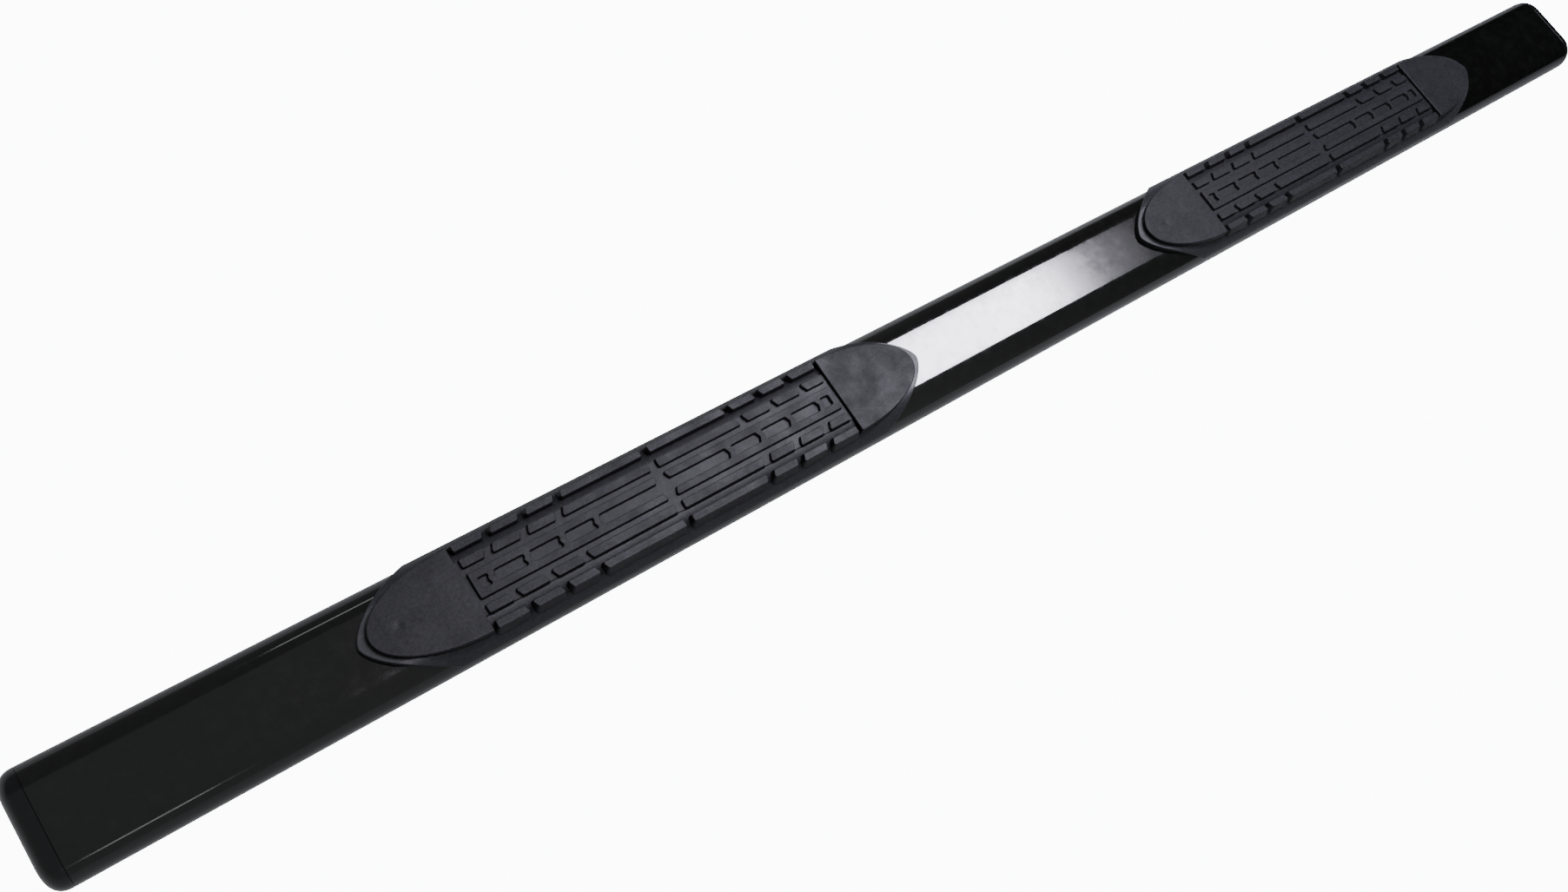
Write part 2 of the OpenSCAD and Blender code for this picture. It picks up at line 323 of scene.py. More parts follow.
def cap_black():
    """Gloss black moulded plastic, duller than the tube, with light scuffs."""
    material, shader = new_material("cap_gloss_black", base=(0.002, 0.002, 0.002), roughness=0.16)
    shader.inputs["Specular IOR Level"].default_value = CAP_SPECULAR
    grain = noise(material, scale=700.0, detail=2.0)
    scuffs = noise(material, scale=60.0, detail=4.0, rough=0.6)
    colour_by(material, shader, spread(material, scuffs, low=0.0, high=1.0), CAP_BLACK)
    link(material, spread(material, scuffs, low=0.12, high=0.24), shader.inputs["Roughness"])
    bump(material, shader, [(grain, 0.08, 0.0001)])
    return material


def moulded(name, colours, rough, grain_depth, specular=PAD_SPECULAR):
    """Grained black moulding: fine grain, soft mottling and a slightly uneven sheen."""
    material, shader = new_material(name, colours[0], rough[1])
    shader.inputs["Specular IOR Level"].default_value = specular
    grain = noise(material, scale=1500.0, detail=2.0, rough=0.6)
    mottle = noise(material, scale=45.0, detail=4.0, rough=0.6)
    fine = noise(material, scale=300.0, detail=4.0, rough=0.75)
    colour_by(material, shader, spread(material, fine, low=0.0, high=1.0), colours)
    link(material, spread(material, mottle, *rough), shader.inputs["Roughness"])
    bump(material, shader, [(fine, 0.5, grain_depth * 4), (grain, 0.6, grain_depth)])
    return material


def metal(name, colours, rough):
    """Turned or plated steel with faint machining marks round it."""
    material, shader = new_material(name, colours[0], rough[1], metallic=1.0)
    turned = noise(material, scale=900.0, rough=0.6, stretch=(1.0, 1.0, 6.0))
    stain = noise(material, scale=200.0)
    colour_by(material, shader, spread(material, stain, low=0.0, high=1.0), colours)
    link(material, spread(material, turned, *rough), shader.inputs["Roughness"])
    bump(material, shader, [(turned, 0.2, 0.00005)])
    return material


def nylon():
    """Natural nylon, slightly cloudy."""
    material, shader = new_material("clip_nylon", base=(0.75, 0.73, 0.66), roughness=0.42)
    mottle = noise(material, scale=600.0)
    colour_by(material, shader, mottle, CLIP_WHITE)
    link(material, spread(material, mottle, low=0.36, high=0.5), shader.inputs["Roughness"])
    bump(material, shader, [(mottle, 0.2, 0.00005)])
    return material


def foam_black():
    """Closed-cell foam tape."""
    material, shader = new_material("foam_black", base=(0.02, 0.02, 0.02), roughness=0.95)
    cells = add_node(material, "ShaderNodeTexVoronoi")
    cells.inputs["Scale"].default_value = 1300.0
    link(material, coordinates(material, "Object"), cells.inputs["Vector"])
    colour_by(material, shader, cells.outputs["Distance"], FOAM_BLACK)
    bump(material, shader, [(cells.outputs["Distance"], 0.6, 0.0003)])
    return material


def pale_floor():
    """Pale in view, dim in the gloss tube's reflections, and dimmer still towards the bar's rear end."""
    material, shader = new_material("floor_pale", base=(0.1, 0.1, 0.1), roughness=0.8)
    colour_by(material, shader, noise(material, scale=3.0, detail=2.0), FLOOR_GREY)
    mirrored = spread(material, split_axes(material, "Object")["X"], *FLOOR_MIRRORED, *FLOOR_FADES)
    shader.inputs["Emission Color"].default_value = (*BACKDROP_COLOUR, 1.0)
    link(material, pale_to_camera(material, mirrored), shader.inputs["Emission Strength"])
    return material


def panel_glow(name, strength, fade):
    """Light that fades along X as the stops say."""
    material = bpy.data.materials.new(name)
    material.use_nodes = True
    material.node_tree.nodes.clear()
    out = add_node(material, "ShaderNodeOutputMaterial")
    glow = add_node(material, "ShaderNodeEmission")
    glow.inputs["Strength"].default_value = strength
    ramp = add_node(material, "ShaderNodeValToRGB")
    stops = ramp.color_ramp.elements
    while len(stops) < len(fade):
        stops.new(1.0)
    for stop, (position, share) in zip(stops, fade):
        stop.position = position
        stop.color = (*[share * c for c in PANEL_COLOUR], 1.0)
    link(material, split_axes(material, "Generated")["X"], ramp.inputs["Fac"])
    link(material, ramp.outputs["Color"], glow.inputs["Color"])
    link(material, glow.outputs["Emission"], out.inputs["Surface"])
    return material


# ---------------------------------------------------------------- mesh helpers

class Builder:
    """Collects points in millimetres and faces for one mesh, with a material number for each face."""

    def __init__(self):
        self.points = []
        self.faces = []
        self.slots = []

    def ring(self, points):
        """Adds a row of points and gives back their numbers."""
        start = len(self.points)
        self.points.extend(tuple(float(c) for c in p) for p in points)
        return list(range(start, len(self.points)))

    def level_ring(self, outline, z, middle_x=0.0):
        """Row at one height from (x, y) points about the middle."""
        return self.ring([(middle_x + x, y, z) for x, y in outline])

    def cross_ring(self, x, section):
        """Row across the bar from (y, z) points."""
        return self.ring([(x, y, z) for y, z in section])

    def face(self, corners, slot=0):
        self.faces.append(tuple(corners))
        self.slots.append(slot)

    def strip(self, ring_a, ring_b, slot=0, closed=True):
        """Quads between two rows of points."""
        count = len(ring_a)
        for i in range(count if closed else count - 1):
            j = (i + 1) % count
            self.face((ring_a[i], ring_a[j], ring_b[j], ring_b[i]), slot)

    def loft(self, rings, slot=0, closed=True):
        """Strips through a list of rows."""
        for a, b in zip(rings, rings[1:]):
            self.strip(a, b, slot, closed)

    def fill(self, rings, slot=0):
        """Flat fill of an outer ring and any holes in it, seen along its most open direction."""
        corners = [Vector(self.points[i]) for i in rings[0]]
        normal = sum((a.cross(b) for a, b in zip(corners, corners[1:] + corners[:1])), Vector())
        turn = normal.rotation_difference(Vector((0, 0, 1)))
        flat = [[(turn @ Vector(self.points[i])).to_2d().to_3d() for i in ring] for ring in rings]
        numbers = [i for ring in rings for i in ring]
        for triangle in tessellate_polygon(flat):
            self.face([numbers[i] for i in triangle], slot)

    def make(self, name, materials=(), slot_name=None):
        """The finished object, which rides on the bar if it has a slot."""
        mesh = bpy.data.meshes.new(name)
        mesh.from_pydata([tuple(c * MM for c in p) for p in self.points], [], self.faces)
        for material in materials:
            mesh.materials.append(material)
        mesh.polygons.foreach_set("material_index", self.slots)
        face_outward(mesh)
        made = bpy.data.objects.new(name, mesh)
        bpy.context.scene.collection.objects.link(made)
        shade(made)
        if slot_name:
            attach(made, "root")
        return made


def face_outward(mesh):
    work = bmesh.new()
    work.from_mesh(mesh)
    bmesh.ops.recalc_face_normals(work, faces=work.faces)
    work.to_mesh(mesh)
    work.free()


def shade(target):
    """Smooth shading that keeps corners sharp and flat faces flat."""
    mesh = target.data
    mesh.polygons.foreach_set("use_smooth", [True] * len(mesh.polygons))
    mesh.set_sharp_from_angle(angle=math.radians(SHARP_DEG))
    mesh.update()
    target.modifiers.new("even_shading", "WEIGHTED_NORMAL").keep_sharp = True


def circle_points(x, y, radius):
    turns = [2 * math.pi * k / CIRCLE_STEPS for k in range(CIRCLE_STEPS)]
    return [(x + radius * math.cos(a), y + radius * math.sin(a)) for a in turns]


def oval(inset):
    """The tube's flat-sided oval, drawn in by an inset, as (y, z) points."""
    r = SHOULDER_R - inset
    points = []
    for side in (1, -1):
        for i in range(SHOULDER_STEPS + 1):
            a = math.radians(-90 + 180 * i / SHOULDER_STEPS)
            points.append((side * (SHOULDER_Y + r * math.cos(a)), TUBE_H / 2 + side * r * math.sin(a)))
    return points


def round_corners(points, radius, steps=4):
    """Polygon with an arc in place of each corner, smaller where the sides are short."""
    points = [np.array(p, float) for p in points]
    rounded = []
    for i, corner in enumerate(points):
        before = points[i - 1] - corner
        after = points[(i + 1) % len(points)] - corner
        len_before, len_after = np.linalg.norm(before), np.linalg.norm(after)
        u, v = before / len_before, after / len_after
        angle = math.acos(np.clip(u @ v, -1, 1))
        if angle > math.radians(STRAIGHT_DEG):
            rounded.append(corner)
            continue
        cut = min(radius / math.tan(angle / 2), CORNER_SHARE * len_before, CORNER_SHARE * len_after)
        r = cut * math.tan(angle / 2)
        centre = corner + (u + v) / np.linalg.norm(u + v) * r / math.sin(angle / 2)
        a = corner + u * cut - centre
        b = corner + v * cut - centre
        sweep = math.pi - angle
        for k in range(steps + 1):
            t = k / steps
            arc = (math.sin((1 - t) * sweep) * a + math.sin(t * sweep) * b) / math.sin(sweep)
            rounded.append(centre + arc)
    return np.array(rounded)


def outward(loop):
    """Mitred outward direction at each point of a loop that turns anticlockwise."""
    before = loop - np.roll(loop, 1, axis=0)
    after = np.roll(loop, -1, axis=0) - loop
    n1 = np.stack([before[:, 1], -before[:, 0]], 1)
    n2 = np.stack([after[:, 1], -after[:, 0]], 1)
    n1 /= np.linalg.norm(n1, axis=1)[:, None]
    n2 /= np.linalg.norm(n2, axis=1)[:, None]
    total = n1 + n2
    return total / np.maximum((total * n1).sum(1), MITRE_LIMIT)[:, None]


def anticlockwise(loop):
    loop = np.array(loop, float)
    ahead = np.roll(loop, -1, axis=0)
    area = (loop[:, 0] * ahead[:, 1] - loop[:, 1] * ahead[:, 0]).sum()
    return loop if area > 0 else loop[::-1]


def edge_levels(top_z, radius, steps=4):
    """Inset and height of each ring round a rounded top edge, from the wall up to the top."""
    levels = []
    for k in range(steps + 1):
        a = math.radians(90 * k / steps)
        levels.append((radius * (1 - math.cos(a)), top_z - radius + radius * math.sin(a)))
    return levels


def raised_block(builder, loops, low_z):
    """Block with rounded top edges and walls that lean in towards its top. Other loops are holes."""
    lean = BLOCK_DRAFT * (PAD_TOP_Z - low_z) / (PAD_TOP_Z - FLOOR_Z)
    tops, bottoms = [], []
    for number, loop in enumerate(loops):
        loop = anticlockwise(loop)
        away = outward(loop) * (1 if number == 0 else -1)
        levels = [(-lean, low_z), *edge_levels(PAD_TOP_Z, BLOCK_EDGE_R)]
        rings = [builder.level_ring(loop - away * inset, z) for inset, z in levels]
        builder.loft(rings)
        bottoms.append(rings[0])
        tops.append(rings[-1])
    builder.fill(tops)
    builder.fill(bottoms)


# ---------------------------------------------------------------- tube and end caps

def drill(name, centres, radius, low_z, high_z):
    """A set of round cutters along Z."""
    cutter = Builder()
    for x, y in centres:
        rings = [cutter.level_ring(circle_points(x, y, radius), z) for z in (low_z, high_z)]
        cutter.loft(rings)
        cutter.fill([rings[0]])
        cutter.fill([rings[1]])
    return cutter.make(name)


def cut_holes(target, cutters):
    """Bakes the holes into the target's mesh and removes the cutters."""
    target.modifiers.clear()
    for cutter in cutters:
        cut = target.modifiers.new(cutter.name, "BOOLEAN")
        cut.object = cutter
        cut.solver = "EXACT"
    graph = bpy.context.evaluated_depsgraph_get()
    mesh = bpy.data.meshes.new_from_object(target.evaluated_get(graph))
    target.modifiers.clear()
    target.data = mesh
    shade(target)
    for cutter in cutters:
        bpy.data.objects.remove(cutter)


def tube_cutters(pad_middles):
    """Cutters for the bosses' seats and the drains below, and the nuts' and clips' seats above."""
    bottom = (-CUTTER_PAST, TUBE_WALL + CUTTER_PAST)
    top = (FLAT_Z - TUBE_WALL - CUTTER_PAST, FLAT_Z + CUTTER_PAST)
    tread_ends = [(x + way * TREAD_LEN / 2, way) for x in pad_middles for way in (-1, 1)]
    bosses = [(x + side * BOSS_PITCH / 2, 0) for x in STATIONS_X for side in (-1, 1)]
    drains = [(x, 0) for x in DRAINS_X]
    screws = [(x + way * SCREW_X, side * SCREW_Y) for x, way in tread_ends for side in (-1, 1)]
    clips = [(x + way * POST_X, 0) for x, way in tread_ends]
    return [drill("boss_seats", bosses, BOSS_R, *bottom), drill("drains", drains, DRAIN_R, *bottom),
            drill("nut_seats", screws, NUT_R, *top), drill("clip_seats", clips, CLIP_HOLE_R, *top)]


def make_tube(low_x, high_x, pad_middles, paint):
    """Open-ended tube with its wall's thickness and its holes."""
    stations = [(low_x, TUBE_WALL), (low_x, SEAM_R), (low_x + SEAM_R, 0.0),
                (high_x - SEAM_R, 0.0), (high_x, SEAM_R), (high_x, TUBE_WALL)]
    builder = Builder()
    rings = [builder.cross_ring(x, oval(inset)) for x, inset in stations]
    builder.loft([*rings, rings[0]])
    tube = builder.make("oval_tube", [paint], "tube_paint")
    cut_holes(tube, tube_cutters(pad_middles))
    return tube


def make_end_cap(name, joint_x, side, plastic):
    """Shell whose section shrinks evenly from the tube's oval to a crowned front, with a hollow plug."""
    gap = TUBE_WALL + PLUG_GAP
    stations = [(PLUG_CAVITY_X, gap + PLUG_WALL), (-PLUG_LEN, gap + PLUG_WALL),
                (-PLUG_LEN, gap + PLUG_CHAMFER), (-PLUG_LEN + PLUG_CHAMFER, gap),
                (0.0, gap), (0.0, SEAM_R), (SEAM_R, 0.0)]
    for k in range(1, CAP_STEPS):
        a = math.radians(90 * k / CAP_STEPS)
        x = SEAM_R + (CAP_LEN - SEAM_R) * math.sin(a) ** (2 / CAP_POWER)
        stations.append((x, SHOULDER_R * (1 - math.cos(a) ** (2 / CAP_POWER))))
    builder = Builder()
    rings = [builder.cross_ring(joint_x + side * x, oval(inset)) for x, inset in stations]
    builder.loft(rings)
    builder.fill([rings[0]])
    builder.fill([rings[-1]])
    return builder.make(name, [plastic], "cap_plastic")


# ---------------------------------------------------------------- pad base

def shell_z(y):
    """Height of the base's outer surface at a distance y from the centreline."""
    over = max(abs(y) - SKIRT_Y, 0.0)
    return SKIRT_CENTRE_Z + math.sqrt(max(SKIRT_R ** 2 - over ** 2, 0.0))


def nose_x(y):
    """How far the nose reaches past the tread's end at a distance y from the centreline."""
    share = 1 - (abs(y) / NOSE_HALF_W) ** NOSE_POWER_Y
    return NOSE_LEN * share ** (1 / NOSE_POWER_X)


def shell_profile(low_angle):
    """Points and outward normals across the base's outer surface, from one skirt to the other."""
    angles = np.linspace(low_angle, 90, SKIRT_STEPS + 1)
    rows = []
    for a in np.radians(angles):
        rows.append((-SKIRT_Y - SKIRT_R * math.cos(a), SKIRT_CENTRE_Z + SKIRT_R * math.sin(a),
                     -math.cos(a), math.sin(a)))
    for y in np.linspace(-SKIRT_Y, SKIRT_Y, LIP_STEPS + 1)[1:-1]:
        rows.append((y, LIP_Z, 0.0, 1.0))
    return rows + [(-y, z, -ny, nz) for y, z, ny, nz in rows[SKIRT_STEPS::-1]]


def on_tube(y, z):
    """The nearest point of the tube's surface."""
    if abs(y) < SHOULDER_Y:
        return y, FLAT_Z
    side = math.copysign(1, y)
    way = Vector((y - side * SHOULDER_Y, z - TUBE_H / 2)).normalized()
    return side * SHOULDER_Y + SHOULDER_R * way.x, TUBE_H / 2 + SHOULDER_R * way.y


def nose_boundary(rows, corner_y, corner_z):
    """Edge point and outward direction, within the surface, at each row of one nose."""
    edge = [Vector((nose_x(y), y, z)) for y, z, _, _ in rows]
    normals = [Vector((0, ny, nz)) for _, _, ny, nz in rows]
    ways = []
    for i, normal in enumerate(normals):
        along = edge[min(i + 1, len(edge) - 1)] - edge[max(i - 1, 0)]
        ways.append(along.cross(normal).normalized())
    for i, side in ((0, -1), (-1, 1)):
        corner = Vector((nose_x(corner_y), side * corner_y, corner_z))
        inner = Vector((edge[i].x - LIP_EDGE_R, edge[i].y, edge[i].z))
        edge[i] = corner
        ways[i] = (corner - inner) / LIP_EDGE_R
    return edge, normals, ways


def make_base(name, middle_x, plastic):
    """Closed shell between the tube and the base's outer surface, with a rounded edge all round."""
    low_angle = math.degrees(math.asin((SKIRT_LOW_Z - SKIRT_CENTRE_Z) / SKIRT_R))
    inner_angle = low_angle + math.degrees(LIP_EDGE_R / SKIRT_R)
    rows = shell_profile(inner_angle)
    corner_y = SKIRT_Y + SKIRT_R * math.cos(math.radians(low_angle))
    edge, normals, ways = nose_boundary(rows, corner_y, SKIRT_LOW_Z)
    columns = [*COLUMN_SHARES, *[-share for share in COLUMN_SHARES[-2::-1]]]
    builder = Builder()
    outer, under = [], []
    for point, way in zip(edge, ways):
        inside = point - way * LIP_EDGE_R
        reach = inside.x + TREAD_LEN / 2
        foot_y, foot_z = on_tube(inside.y, inside.z)
        outer.append(builder.ring([(middle_x + c * reach, inside.y, inside.z) for c in columns]))
        under.append(builder.ring([(middle_x + c * reach, foot_y, foot_z) for c in columns]))
    builder.loft(outer, closed=False)
    builder.loft(under, closed=False)
    builder.loft(base_edge_rings(builder, middle_x, edge, normals, ways, columns, outer, under))
    return builder.make(name, [plastic], "base_plastic")


def base_edge_rings(builder, middle_x, edge, normals, ways, columns, outer, under):
    """Rings round the base's whole edge: over the rounded edge and down the wall to the tube."""
    last = len(edge) - 1
    stops = [(i, 1.0) for i in range(last + 1)]
    stops += [(last, c) for c in columns[1:-1]]
    stops += [(i, -1.0) for i in range(last, -1, -1)]
    stops += [(0, c) for c in columns[-2:0:-1]]
    rings = [[outer[i][columns.index(c)] for i, c in stops]]
    for k in range(1, LIP_EDGE_STEPS + 1):
        a = math.radians(90 * k / LIP_EDGE_STEPS)
        ring = []
        for i, c in stops:
            centre = edge[i] - (ways[i] + normals[i]) * LIP_EDGE_R
            lift = normals[i] * math.cos(a) * LIP_EDGE_R
            push = ways[i] * math.sin(a) * LIP_EDGE_R
            reach = centre.x + push.x + TREAD_LEN / 2
            if abs(c) < 1:
                push.x = 0.0
                reach = side_reach(edge[i], ways[i])
            point = centre + lift + push
            ring.append((middle_x + c * reach, point.y, point.z))
        rings.append(builder.ring(ring))
    foot = []
    for i, c in stops:
        y, z = on_tube(edge[i].y, edge[i].z)
        reach = edge[i].x + TREAD_LEN / 2 if abs(c) == 1 else side_reach(edge[i], ways[i])
        foot.append((middle_x + c * reach, y, z))
    rings.append(builder.ring(foot))
    rings.append([under[i][columns.index(c)] for i, c in stops])
    return rings


def side_reach(point, way):
    """Half the length that the columns along a skirt's low edge are spread over."""
    return (point - way * LIP_EDGE_R).x + TREAD_LEN / 2


# ---------------------------------------------------------------- end covers

def cover_outline(side):
    """Half ellipse with its straight edge on the tread's end, as (x, y) points about the pad's middle."""
    turns = [math.radians(180 * i / COVER_STEPS - 90) for i in range(COVER_STEPS + 1)]
    curve = [(COVER_LEN * math.cos(a), PAD_HALF_W * math.sin(a)) for a in turns]
    curve[0] = (0.0, -PAD_HALF_W)
    curve[-1] = (0.0, PAD_HALF_W)
    loop = round_corners(curve, COVER_CORNER_R, steps=5)
    return anticlockwise([(side * (TREAD_LEN / 2 + x), y) for x, y in loop])


def cover_top_rings(builder, middle_x, side, top):
    """Rings from the edge of a cover's flat top in to the middle of its sink mark."""
    sink = np.array([side * (TREAD_LEN / 2 + POST_X), 0.0])
    rings = []
    for share in TOP_SHARES:
        points = []
        for x, y in sink + (top - sink) * share:
            off = math.hypot(x - sink[0], y - sink[1])
            points.append((middle_x + x, y, PAD_TOP_Z - SINK_DEPTH * math.exp(-(off / SINK_R) ** 2)))
        rings.append(builder.ring(points))
    return rings


def make_cover(name, middle_x, side, plastic):
    """Hollow plate that follows the base's surface below, with a faint sink mark over its clip's post."""
    loop = cover_outline(side)
    away = outward(loop)
    inner = loop - away * COVER_WALL
    builder = Builder()
    rings = [builder.level_ring(inner, PAD_TOP_Z - COVER_WALL, middle_x)]
    for foot in (inner, loop):
        rings.append(builder.ring([(middle_x + x, y, shell_z(y) - SUNK) for x, y in foot]))
    for inset, z in edge_levels(PAD_TOP_Z, COVER_EDGE_R, steps=5):
        rings.append(builder.level_ring(loop - away * inset, z, middle_x))
    rings += cover_top_rings(builder, middle_x, side, loop - away * COVER_EDGE_R)
    builder.loft(rings)
    builder.fill([rings[0]])
    builder.fill([rings[-1]])
    return builder.make(name, [plastic], "cover_plastic")


# ---------------------------------------------------------------- treads

def chevron_x(i, y):
    """How far from the pad's middle chevron gap i crosses a line at a distance y from the centreline."""
    return TREAD_LEN / 2 - CHEVRON_START - CHEVRON_PITCH * i - CHEVRON_SLANT * y


def row_blocks(row):
    """Outlines of one quarter's blocks in a row, from the tread's end to its middle."""
    end_x = TREAD_LEN / 2 - END_GAP
    blocks = []
    for i in range(SHORT_BLOCKS + 1):
        far = [end_x, end_x] if i == 0 else [chevron_x(i - 1, y) - BLOCK_GAP / 2 for y in row]
        near = [chevron_x(i, y) + BLOCK_GAP / 2 for y in row]
        if i == SHORT_BLOCKS:
            near = [MIDDLE_GAP / 2, MIDDLE_GAP / 2]
        blocks.append([(far[0], row[0]), (far[1], row[1]), (near[1], row[1]), (near[0], row[0])])
    return blocks


def half_panel():
    """Outline of one half of the centre panel, and the slots in it."""
    end_x = TREAD_LEN / 2 - END_GAP
    inner_y, outer_y = RAIL_ROW
    last_x = [chevron_x(SHORT_BLOCKS, y) - WEB_W / 2 for y in (0, inner_y)]
    half = [(end_x, outer_y), (MIDDLE_GAP / 2, outer_y), (MIDDLE_GAP / 2 + MIDDLE_FLARE, inner_y),
            (last_x[1], inner_y), (last_x[0], 0)]
    outline = half + [(x, -y) for x, y in half[-2::-1]]
    slots = []
    for i in range(SHORT_BLOCKS + 1):
        near = [chevron_x(i, y) + WEB_W / 2 for y in (0, inner_y)]
        if i == 0:
            slot_x = TREAD_LEN / 2 - FIRST_SLOT
            far_end = [(slot_x, inner_y), (slot_x, -inner_y)]
        else:
            far = [chevron_x(i - 1, y) - WEB_W / 2 for y in (0, inner_y)]
            far_end = [(far[1], inner_y), (far[0], 0), (far[1], -inner_y)]
        slots.append([(near[1], inner_y), *far_end, (near[1], -inner_y), (near[0], 0)])
    return outline, slots


def placed(loop, flip_x, flip_y, middle_x):
    """A block's outline with rounded corners, in its own quarter of the tread."""
    loop = round_corners(loop, BLOCK_CORNER_R)
    return [(middle_x + flip_x * x, flip_y * y) for x, y in loop]


def make_tread_floor(builder, middle_x, slot):
    """The slab under the blocks: lower in the outer grooves, and resting on the base's outer surface."""
    side_y = PAD_HALF_W - SUNK
    step_y = INNER_ROW[1]
    skin = [(y, shell_z(y) + TREAD_SKIN) for y in np.linspace(side_y - SUNK, step_y + SUNK, SKIN_POINTS)]
    rise = [(side_y, shell_z(side_y) - SUNK), (side_y, skin[0][1] - SUNK), *skin,
            (step_y, FLOOR_Z - SUNK), (step_y - SUNK, FLOOR_Z)]
    across = rise + [(-y, z) for y, z in rise[::-1]]
    across += [(y, shell_z(y) - SUNK) for y in np.linspace(-side_y, side_y, UNDER_POINTS)[1:-1]]
    end_x = TREAD_LEN / 2 - FOOTING_GAP
    rings = [builder.cross_ring(middle_x + x, across) for x in (-end_x, end_x)]
    builder.loft(rings, slot)
    builder.fill([rings[0]], slot)
    builder.fill([rings[1]], slot)


def make_tread(name, middle_x, rubber, floor_rubber):
    """Floor, centre panel with its slots, and the rows of blocks each side of it."""
    builder = Builder()
    side_low = shell_z(PAD_HALF_W) - SUNK
    outline, slots = half_panel()
    make_tread_floor(builder, middle_x, slot=1)
    for flip_x in (-1, 1):
        loops = [placed(loop, flip_x, 1, middle_x) for loop in (outline, *slots)]
        raised_block(builder, loops, FLOOR_Z - SUNK)
        for flip_y in (-1, 1):
            for row, low_z in ((INNER_ROW, LIP_Z), (OUTER_ROW, side_low)):
                for loop in row_blocks(row):
                    raised_block(builder, [placed(loop, flip_x, flip_y, middle_x)], low_z)
    return builder.make(name, [rubber, floor_rubber], "tread_rubber")


# ---------------------------------------------------------------- stage

def rectangle(name, corners, z, material):
    """Level rectangle in metres."""
    mesh = bpy.data.meshes.new(name)
    mesh.from_pydata([(x, y, z) for x, y in corners], [], [(0, 1, 2, 3)])
    mesh.materials.append(material)
    made = bpy.data.objects.new(name, mesh)
    bpy.context.scene.collection.objects.link(made)
    return made


def make_floor():
    """A wide pale floor just under the bar."""
    half = FLOOR_HALF
    corners = [(-half, -half), (half, -half), (half, half), (-half, half)]
    floor = rectangle("floor", corners, 0.0, pale_floor())
    floor.location.z = -FLOOR_DROP


def light_panel(name, low, high, strength, fade):
    """Ceiling panel between two corners, seen only by its light and in reflections."""
    corners = [(low[0], low[1]), (low[0], high[1]), (high[0], high[1]), (high[0], low[1])]
    panel = rectangle(name, corners, PANEL_Z, panel_glow(name, strength, fade))
    panel.visible_camera = False


def soft_light(name, at, target, width, length, power):
    """Rectangular light whose long side lies along the bar as nearly as it can."""
    lamp = bpy.data.lights.new(name, "AREA")
    lamp.shape = "RECTANGLE"
    lamp.size = length
    lamp.size_y = width
    lamp.energy = power
    made = bpy.data.objects.new(name, lamp)
    bpy.context.scene.collection.objects.link(made)
    ahead = (Vector(target) - Vector(at)).normalized()
    up = Vector((1, 0, 0)).cross(ahead).normalized()
    made.location = at
    made.rotation_mode = "QUATERNION"
    made.rotation_quaternion = basis_turn(ahead.cross(up), up, -ahead)
    made.visible_camera = False


def basis_turn(x_axis, y_axis, z_axis):
    """The turn that takes the three axes to these directions."""
    return Matrix((x_axis, y_axis, z_axis)).transposed().to_quaternion()


def make_world():
    """Studio walls that light the bar as the constants say, and look as pale as the floor."""
    world = bpy.data.worlds.new("studio")
    bpy.context.scene.world = world
    world.use_nodes = True
    axes = split_axes(world, "Generated")
    rear = spread(world, axes["X"], 1.0, REAR_SHARE, *REAR_DIMS)
    far = spread(world, axes["Y"], 1.0, FAR_SHARE, *FAR_DIMS)
    light = multiplied(world, multiplied(world, rear, far), WORLD_LIGHT)
    backdrop = world.node_tree.nodes["Background"]
    backdrop.inputs["Color"].default_value = (*BACKDROP_COLOUR, 1.0)
    link(world, pale_to_camera(world, light), backdrop.inputs["Strength"])


def make_camera():
    """The camera that was solved from the photograph."""
    data = bpy.data.cameras.new("camera")
    data.lens = CAMERA_LENS
    data.sensor_width = CAMERA_SENSOR
    data.clip_start = CAMERA_CLIP
    camera = bpy.data.objects.new("camera", data)
    bpy.context.scene.collection.objects.link(camera)
    ahead = Vector(CAMERA_AHEAD).normalized()
    right = Vector(CAMERA_RIGHT).normalized()
    up = right.cross(ahead).normalized()
    camera.location = CAMERA_AT
    camera.rotation_mode = "QUATERNION"
    camera.rotation_quaternion = basis_turn(right, up, -ahead)
    bpy.context.scene.camera = camera


# ---------------------------------------------------------------- scene

def node_middle_x(node_name):
    """Middle of a CAD node's box along the bar, in millimetres."""
    low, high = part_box(node_name)
    return (low.x + high.x) / 2 / MM


def finish_node(node_name, material):
    """Gives a CAD node that keeps its own shape its finish."""
    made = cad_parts[node_name]
    made.data.materials.clear()
    made.data.materials.append(material)


def make_tube_and_caps(pad_middles):
    tube_low, tube_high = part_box("main_tube")
    low_x, high_x = tube_low.x / MM, tube_high.x / MM
    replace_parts(make_tube(low_x, high_x, pad_middles, gloss_black()), "main_tube")
    plastic = cap_black()
    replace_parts(make_end_cap("front_cap", low_x, -1, plastic), "front_end_cap")
    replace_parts(make_end_cap("rear_cap", high_x, 1, plastic), "rear_end_cap")


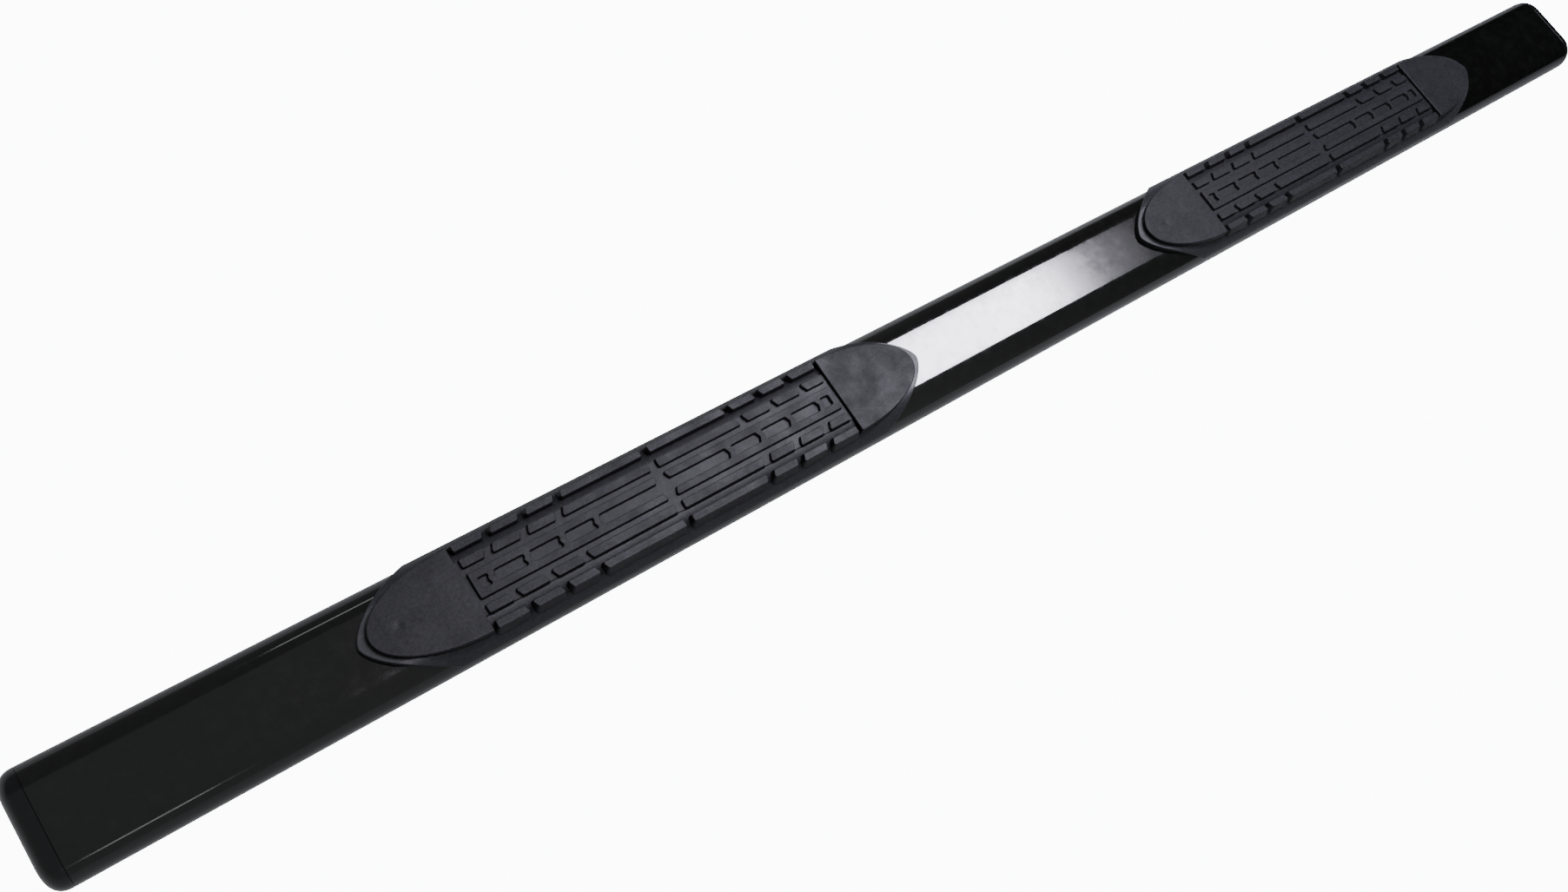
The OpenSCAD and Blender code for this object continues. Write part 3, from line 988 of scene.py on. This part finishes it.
def make_pads(pads):
    """Base, tread and covers of each pad, by its name and the middle of its tread."""
    base_plastic = moulded("base_satin_black", BASE_BLACK, rough=(0.30, 0.40), grain_depth=0.00005,
                           specular=BASE_SPECULAR)
    rubber = moulded("tread_charcoal", PAD_BLACK, rough=(0.35, 0.53), grain_depth=0.00010)
    floor_rubber = moulded("tread_floor_charcoal", PAD_BLACK, rough=(0.36, 0.46), grain_depth=0.00005)
    cover_plastic = moulded("cover_charcoal", PAD_BLACK, rough=(0.36, 0.56), grain_depth=0.00009)
    for pad, x in pads.items():
        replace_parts(make_base(f"{pad}_base", x, base_plastic), f"{pad}_pad_base")
        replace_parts(make_tread(f"{pad}_tread", x, rubber, floor_rubber), f"{pad}_pad_tread")
        for end, side in (("front", -1), ("rear", 1)):
            cover = make_cover(f"{pad}_{end}_cover", x, side, cover_plastic)
            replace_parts(cover, f"{pad}_pad_{end}_cover")


def finish_hidden_nodes(pads):
    """Finishes for the fasteners, foam and bosses, which keep their CAD shapes."""
    screws = metal("screw_steel", SCREW_STEEL, rough=(0.25, 0.4))
    nuts = metal("nut_yellow_zinc", NUT_ZINC, rough=(0.25, 0.42))
    bosses = metal("boss_steel", BOSS_STEEL, rough=(0.35, 0.5))
    clips = nylon()
    foam = foam_black()
    for pad in pads:
        finish_node(f"{pad}_pad_screws", screws)
        finish_node(f"{pad}_pad_rivet_nuts", nuts)
        finish_node(f"{pad}_pad_cover_clips", clips)
        finish_node(f"{pad}_pad_foam_strips", foam)
    for station in ("front", "middle", "rear"):
        finish_node(f"{station}_bracket_bosses", bosses)


def make_studio():
    """Strips draw the highlights on the shoulders ahead of the front pad. Panels light the flat top."""
    make_world()
    make_floor()
    soft_light("near_strip", at=(-0.91, -1.95, 1.2), target=(-0.89, 0, 0.05),
               width=0.11, length=0.26, power=0.52)
    soft_light("far_strip", at=(-0.42, 1.8, 1.2), target=(-0.75, 0, 0.05),
               width=0.12, length=0.28, power=0.48)
    light_panel("ceiling_panel", low=(0.5, 0.42), high=(2.05, 0.61), strength=104.0, fade=PANEL_FADE)
    light_panel("front_panel", low=(-0.24, -0.45), high=(0.7, 0.40), strength=19.0, fade=EVEN_LIGHT)


PADS = {"front": node_middle_x("front_pad_tread"), "rear": node_middle_x("rear_pad_tread")}

make_camera()
make_tube_and_caps(PADS.values())
make_pads(PADS)
finish_hidden_nodes(PADS)
make_studio()
